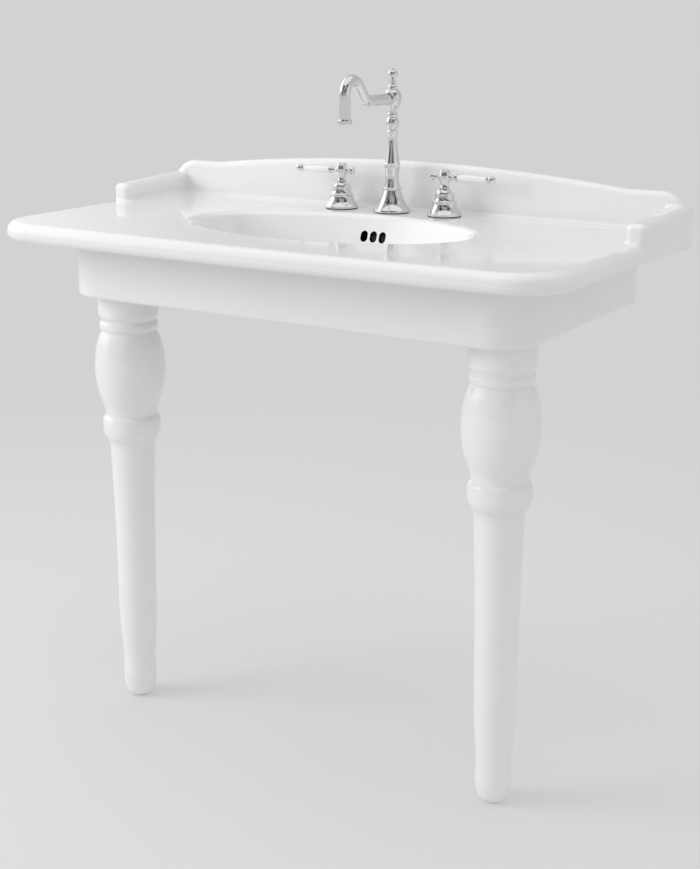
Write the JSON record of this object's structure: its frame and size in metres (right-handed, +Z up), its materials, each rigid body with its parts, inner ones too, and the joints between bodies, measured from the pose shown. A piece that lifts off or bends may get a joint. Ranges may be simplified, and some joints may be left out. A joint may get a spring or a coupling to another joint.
{
  "type": "console washbasin",
  "caption": "Wall-hung ceramic console washbasin with a backsplash, turned front legs and a three-hole tap set with a swivel spout and porcelain levers.",
  "frame": {"origin": "the setting-out point: where the finished wall meets the finished floor, on the basin's centre line", "axes": "+X to the right as seen from the front, +Y into the wall, +Z up; the basin comes out of the wall towards -Y"},
  "size_m": [1, 0.52, 1.0884],
  "materials": {
    "china": "glossy white glaze",
    "porcelain": "glossy white porcelain",
    "chrome": "polished chrome plate",
    "brass": "raw machined brass",
    "steel": "zinc plated or stainless fasteners",
    "rubber": "matt black",
    "plastic": "light grey moulding"
  },
  "bodies": {
    "frame": {"basin": "china", "leg_left": "china", "leg_right": "china", "leg_gaskets": "rubber", "foot_pads": "rubber", "waste_seal": "rubber", "swivel_rings": "rubber", "waste_gasket": "rubber", "spout_gasket": "rubber", "valve_gaskets": "rubber", "spout_washer": "rubber", "valve_washers": "rubber", "leg_studs": "steel", "leg_washers": "steel", "leg_nuts": "steel", "spout_screw": "steel", "waste_body": "chrome", "spout_bell": "chrome", "spout_column": "chrome", "finial": "chrome", "waste_nut": "brass", "spout_shank": "brass", "spout_backnut": "brass", "valve_backnuts": "brass", "swivel_pin": "brass", "click_cartridge": "plastic", "link_pipes": "chrome", "hot_bell": "chrome", "hot_valve_body": "brass", "cold_bell": "chrome", "cold_valve_body": "brass"},
    "spout": {"spout_arm": "chrome", "aerator_ring": "chrome", "aerator_insert": "plastic"},
    "hot_handle": {"hot_spindle": "brass", "hot_handle_head": "chrome", "hot_handle_screw": "steel", "hot_cap": "chrome", "hot_lever": "porcelain", "hot_lever_rod": "steel", "hot_lever_tip": "chrome"},
    "cold_handle": {"cold_spindle": "brass", "cold_handle_head": "chrome", "cold_handle_screw": "steel", "cold_cap": "chrome", "cold_lever": "porcelain", "cold_lever_rod": "steel", "cold_lever_tip": "chrome"},
    "plug": {"waste_plug": "chrome", "plug_seal": "rubber"}
  },
  "joints": [
    {"name": "spout_swivel", "type": "hinge", "parent": "frame", "child": "spout", "pos_m": [0, -0.065, 1.038], "axis": [0, 0, 1], "range_deg": [-75, 75]},
    {"name": "hot_turn", "type": "hinge", "parent": "frame", "child": "hot_handle", "pos_m": [-0.1, -0.065, 0.914], "axis": [0, 0, 1], "range_deg": [0, 90]},
    {"name": "cold_turn", "type": "hinge", "parent": "frame", "child": "cold_handle", "pos_m": [0.1, -0.065, 0.914], "axis": [0, 0, 1], "range_deg": [-90, 0]},
    {"name": "plug_press", "type": "slide", "parent": "frame", "child": "plug", "axis": [0, 0, 1], "range_m": [-0.009, 0]}
  ]
}
